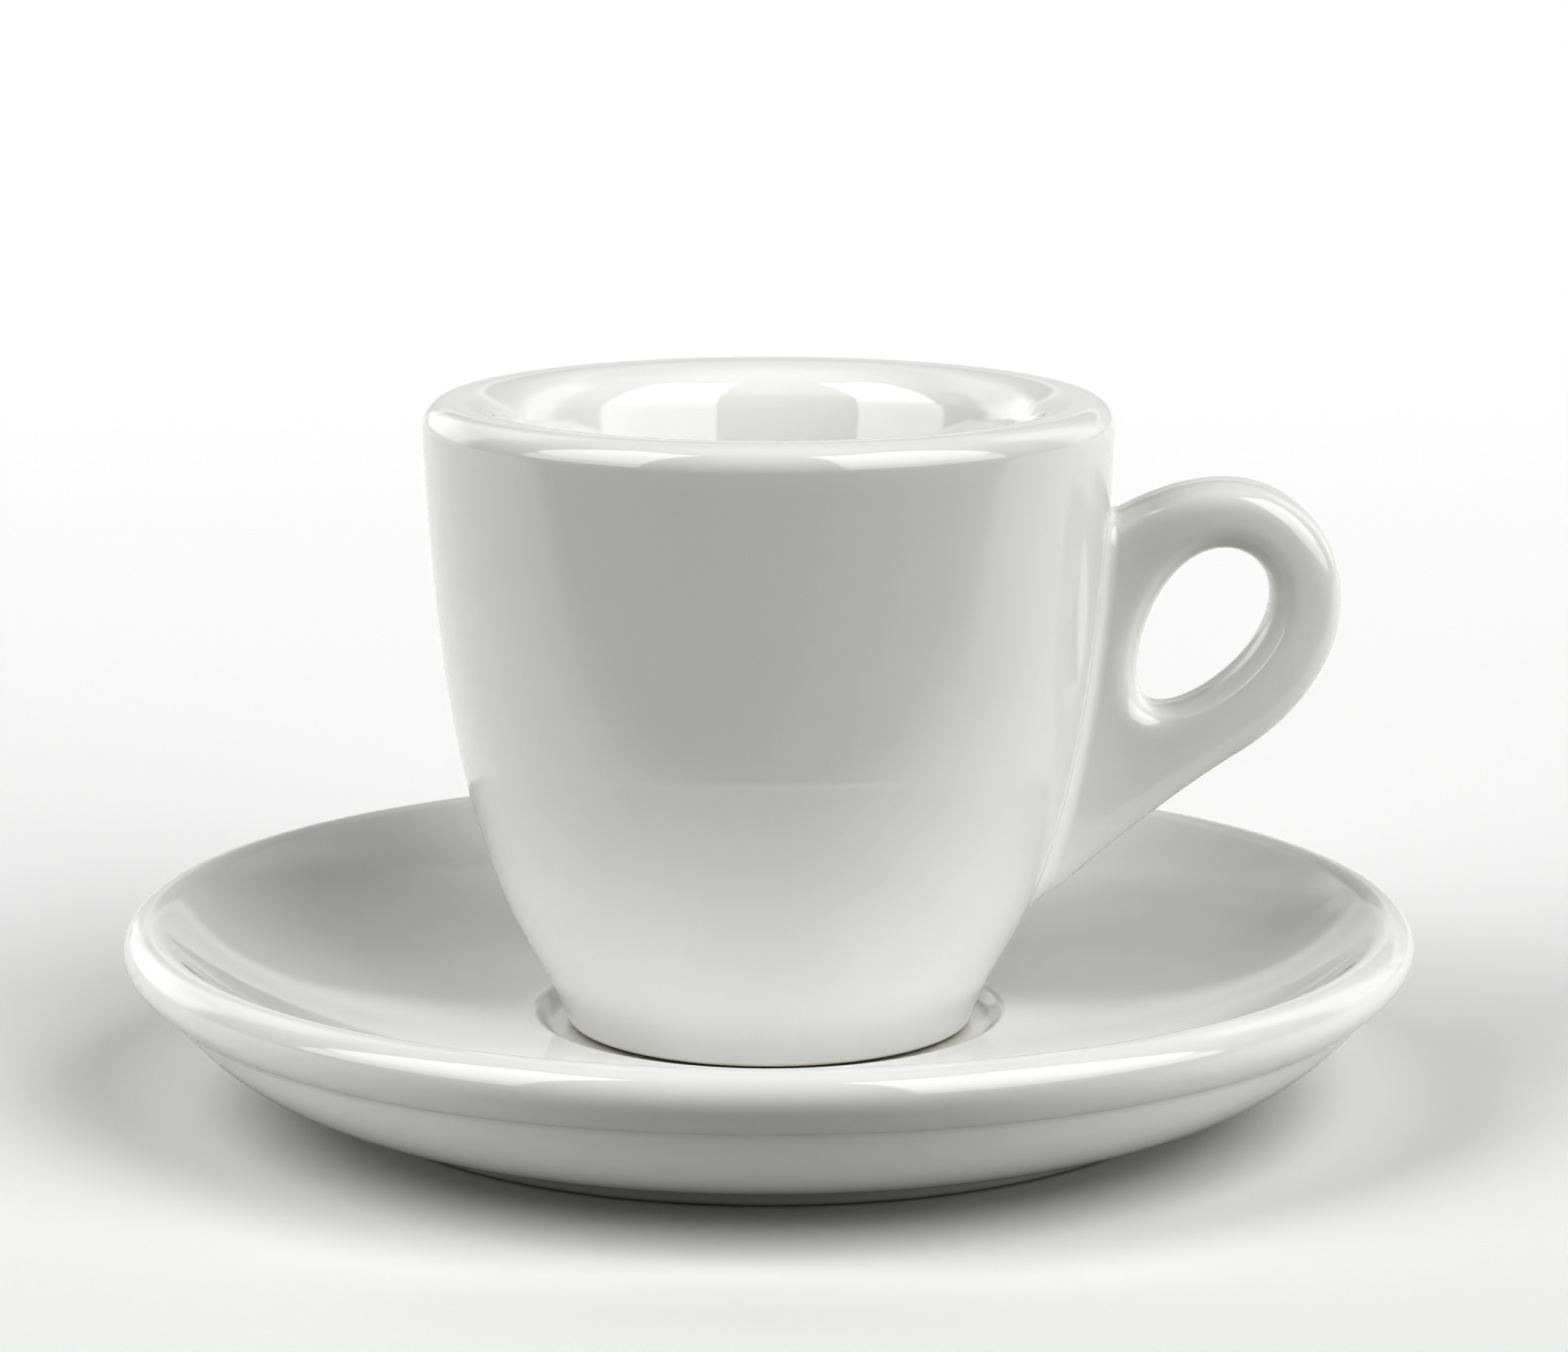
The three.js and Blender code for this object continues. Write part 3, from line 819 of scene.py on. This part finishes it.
def scuff_well(material, finish, cup, floor):
    """Adds the grey marks that the cup's foot leaves on the floor of the well."""
    tree = material.node_tree
    shader = tree.nodes["Principled BSDF"]
    clean = shader.inputs["Base Color"].links[0].from_socket
    place = tree.nodes.new("ShaderNodeTexCoord").outputs["Object"]
    split = tree.nodes.new("ShaderNodeSeparateXYZ")
    tree.links.new(place, split.inputs[0])
    level = tree.nodes.new("ShaderNodeCombineXYZ")
    tree.links.new(split.outputs["X"], level.inputs["X"])
    tree.links.new(split.outputs["Y"], level.inputs["Y"])
    out = tree.nodes.new("ShaderNodeVectorMath")
    out.operation = "LENGTH"
    tree.links.new(level.outputs[0], out.inputs[0])
    outer = cup.foot_diameter / 2
    inner = outer - cup.foot_width - cup.foot_edge
    radius = out.outputs["Value"]
    ring = math_node(
        tree,
        "MULTIPLY",
        ramp(tree, radius, inner, inner + 0.0012),
        ramp(tree, radius, outer - 0.0012, outer, 1, 0),
    )
    flat = ramp(tree, split.outputs["Z"], floor + 0.0001, floor + 0.0004, 1, 0)
    above = math_node(tree, "GREATER_THAN", split.outputs["Z"], floor - 0.0005)
    marks = ramp(tree, noise(tree, place, 900, 5), 0.5, 0.72, 0, 0.5)
    mask = ring
    for part in (flat, above, marks):
        mask = math_node(tree, "MULTIPLY", mask, part)
    tree.links.new(mix_colour(tree, mask, clean, (*finish.scuff, 1)), shader.inputs["Base Color"])


# Operators


class CUPSET_OT_saucer(bpy.types.Operator):
    """Turn the saucer and glaze it"""

    bl_idname = "cupset.saucer"
    bl_label = "Saucer"

    def execute(self, context):
        sizes = context.scene.cup_set
        glaze = porcelain("glazed_saucer", sizes.finish, 0)
        scuff_well(glaze, sizes.finish, sizes.cup, well_floor(sizes.saucer))
        piece = turn_piece("saucer_glazed", saucer_section(sizes.saucer), glaze, sizes.turn_steps)
        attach(piece, "saucer")
        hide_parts("saucer")
        return {"FINISHED"}


class CUPSET_OT_cup(bpy.types.Operator):
    """Turn the cup and glaze it"""

    bl_idname = "cupset.cup"
    bl_label = "Cup"

    def execute(self, context):
        sizes = context.scene.cup_set
        glaze = porcelain("glazed_cup", sizes.finish, cup_bottom(sizes))
        piece = turn_piece("cup_glazed", cup_section(sizes), glaze, sizes.turn_steps)
        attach(piece, "cup")
        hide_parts("cup_body")
        return {"FINISHED"}


class CUPSET_OT_handle(bpy.types.Operator):
    """Form the ring handle and run it into the cup's wall"""

    bl_idname = "cupset.handle"
    bl_label = "Handle"

    def execute(self, context):
        sizes = context.scene.cup_set
        glaze = porcelain("glazed_cup", sizes.finish, cup_bottom(sizes))
        piece = build_handle(sizes, glaze)
        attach(piece, "cup")
        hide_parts("cup_handle")
        return {"FINISHED"}


def sheet(name, corners, material):
    """A flat four-cornered stage object."""
    mesh = bpy.data.meshes.new(name)
    mesh.from_pydata(corners, [], [(0, 1, 2, 3)])
    mesh.materials.append(material)
    obj = bpy.data.objects.new(name, mesh)
    bpy.context.scene.collection.objects.link(obj)


def softbox(tree, azimuth, elevation, panel):
    """Brightness of a soft-edged panel of light with round corners, over a direction's two angles."""
    left, right, low, high, corner, edge, radiance = panel
    corner = math.radians(corner)
    edge = math.radians(edge)
    middle = math.radians((left + right) / 2)
    sideways = math_node(tree, "WRAP", math_node(tree, "SUBTRACT", azimuth, middle), math.pi, -math.pi)
    upward = math_node(tree, "SUBTRACT", elevation, math.radians((low + high) / 2))
    past_side = math_node(tree, "ABSOLUTE", sideways)
    past_side = math_node(tree, "SUBTRACT", past_side, math.radians(right - left) / 2 - corner)
    past_top = math_node(tree, "ABSOLUTE", upward)
    past_top = math_node(tree, "SUBTRACT", past_top, math.radians(high - low) / 2 - corner)
    side_square = math_node(tree, "POWER", math_node(tree, "MAXIMUM", past_side, 0), 2)
    top_square = math_node(tree, "POWER", math_node(tree, "MAXIMUM", past_top, 0), 2)
    past = math_node(tree, "SQRT", math_node(tree, "ADD", side_square, top_square))
    return ramp(tree, past, corner - edge, corner + edge, radiance, 0)


# Panels of light: left and right azimuth, low and high elevation, corner and edge in degrees, radiance.
# The one below zero is the dark gap between the two windows.
PANELS = (
    (-88, 84, 20, 66, 10, 1.5, 3.65),
    (-88, 84, 6, 20, 2, 1.5, 2.5),
    (-42, 24, -60, 78, 26, 1.5, -4.5),
    (-160, -118, 0, 24, 6, 6, 1.8),
    (-160, -118, 24, 48, 6, 6, 1.0),
    (116, 146, 0, 48, 6, 6, 1.2),
    (146, 200, -20, 14, 4, 2, 0.8),
    (146, 200, 13, 21, 4, 2, 0.55),
    (146, 200, 21, 48, 4, 2, 0.45),
    (-180, 180, 70, 110, 4, 4, 0.36),
)

# Painted shade in the floor's colour for all but camera rays: how much of the floor's light goes back up, a
# share within radii under the set, and none before it.
UNDER_RADII = (0.045, 0.065)
UNDER_SHARE = 0.68
FRONT_FADE = (-0.09, -0.05)
PAINTED_SHADE_FLOOR = (0.03, 0.03, 0.03)

# From where to where the floor turns into the lighter far floor, a painted shade that darkens the floor
# towards the camera, and the brightness behind it.
FLOOR_SHADE_FADE = (-0.15, 0.7)
BACKDROP = 0.9


class CUPSET_OT_stage(bpy.types.Operator):
    """Lay the floor, set the lights and place the camera"""

    bl_idname = "cupset.stage"
    bl_label = "Stage"

    def execute(self, context):
        scene = context.scene
        studio = scene.cup_set.studio

        floor = bpy.data.materials.new("pale_floor")
        floor.use_nodes = True
        shader = floor.node_tree.nodes["Principled BSDF"]
        shader.inputs["Roughness"].default_value = 0.9
        shader.inputs["Specular IOR Level"].default_value = 0.1
        tree = floor.node_tree
        split = tree.nodes.new("ShaderNodeSeparateXYZ")
        tree.links.new(tree.nodes.new("ShaderNodeTexCoord").outputs["Object"], split.inputs[0])
        # Painted shade: the floor darkens from the far floor towards the camera.
        distance = ramp(tree, split.outputs["Y"], *FLOOR_SHADE_FADE)
        pale = mix_colour(tree, distance, (*studio.floor, 1), (*studio.far_floor, 1))

        # Painted shade: the floor before and under the set is pale to the camera only and dark to other
        # rays, so that it throws little light back.
        square = math_node(tree, "POWER", split.outputs["X"], 2)
        square = math_node(tree, "ADD", square, math_node(tree, "POWER", split.outputs["Y"], 2))
        beside = ramp(tree, math_node(tree, "SQRT", square), *UNDER_RADII, UNDER_SHARE, 1)
        behind = ramp(tree, split.outputs["Y"], *FRONT_FADE)
        share = math_node(tree, "MULTIPLY", beside, behind)
        painted_shade_bounce = mix_colour(tree, share, (*PAINTED_SHADE_FLOOR, 1), pale)
        path = tree.nodes.new("ShaderNodeLightPath")
        seen = mix_colour(tree, path.outputs["Is Camera Ray"], painted_shade_bounce, pale)
        tree.links.new(seen, shader.inputs["Base Color"])
        sheet("floor", [(-6, -6, 0), (6, -6, 0), (6, 6, 0), (-6, 6, 0)], floor)

        # Soft panels all round. Azimuth 0 is the camera's side and 90 the handle's.
        world = bpy.data.worlds.new("studio")
        scene.world = world
        world.use_nodes = True
        tree = world.node_tree
        split = tree.nodes.new("ShaderNodeSeparateXYZ")
        tree.links.new(tree.nodes.new("ShaderNodeTexCoord").outputs["Generated"], split.inputs[0])
        front = math_node(tree, "MULTIPLY", split.outputs["Y"], -1)
        azimuth = math_node(tree, "ARCTAN2", split.outputs["X"], front)
        elevation = math_node(tree, "ARCSINE", split.outputs["Z"])
        total = 0
        for panel in PANELS:
            total = math_node(tree, "ADD", softbox(tree, azimuth, elevation, panel), total)
        total = math_node(tree, "MAXIMUM", total, 0)
        seen = tree.nodes.new("ShaderNodeLightPath").outputs["Is Camera Ray"]
        unseen = math_node(tree, "MULTIPLY", total, math_node(tree, "SUBTRACT", 1, seen))
        strength = math_node(tree, "ADD", unseen, math_node(tree, "MULTIPLY", seen, BACKDROP))
        light = tree.nodes["Background"]
        light.inputs["Color"].default_value = (1, 1, 1, 1)
        tree.links.new(strength, light.inputs["Strength"])
        world.cycles.sampling_method = "MANUAL"
        world.cycles.sample_map_resolution = 512

        camera = bpy.data.cameras.new("camera")
        camera.lens = studio.lens
        camera.sensor_width = 36
        viewer = bpy.data.objects.new("camera", camera)
        viewer.location = (0, -studio.camera_back, studio.camera_height)
        viewer.rotation_euler = (math.pi / 2 - studio.camera_pitch, 0, studio.camera_yaw)
        scene.collection.objects.link(viewer)
        scene.camera = viewer
        scene.view_settings.view_transform = "Standard"
        scene.view_settings.gamma = 1 / studio.contrast
        return {"FINISHED"}


class CUPSET_PT_panel(bpy.types.Panel):
    """Sizes, finish and pieces of the cup set"""

    bl_idname = "CUPSET_PT_panel"
    bl_label = "Cup set"
    bl_space_type = "VIEW_3D"
    bl_region_type = "UI"
    bl_category = "Cup set"

    def draw(self, context):
        sizes = context.scene.cup_set
        for title, group in (
            ("Saucer", sizes.saucer),
            ("Cup", sizes.cup),
            ("Handle", sizes.handle),
            ("Finish", sizes.finish),
            ("Studio", sizes.studio),
        ):
            box = self.layout.box()
            box.label(text=title)
            for name in group.bl_rna.properties.keys():
                if name not in ("rna_type", "name"):
                    box.prop(group, name)
        self.layout.prop(sizes, "turn_steps")
        for operator in OPERATORS:
            self.layout.operator(operator.bl_idname)


OPERATORS = (CUPSET_OT_stage, CUPSET_OT_saucer, CUPSET_OT_cup, CUPSET_OT_handle)
CLASSES = (
    SaucerSizes,
    CupSizes,
    HandleSizes,
    PorcelainFinish,
    StudioSetup,
    CupSet,
    *OPERATORS,
    CUPSET_PT_panel,
)


def register():
    for cls in CLASSES:
        bpy.utils.register_class(cls)
    bpy.types.Scene.cup_set = PointerProperty(type=CupSet)


def unregister():
    del bpy.types.Scene.cup_set
    for cls in reversed(CLASSES):
        bpy.utils.unregister_class(cls)


def main():
    register()
    bpy.ops.cupset.stage()
    bpy.ops.cupset.saucer()
    bpy.ops.cupset.cup()
    bpy.ops.cupset.handle()


if __name__ == "__main__":
    main()
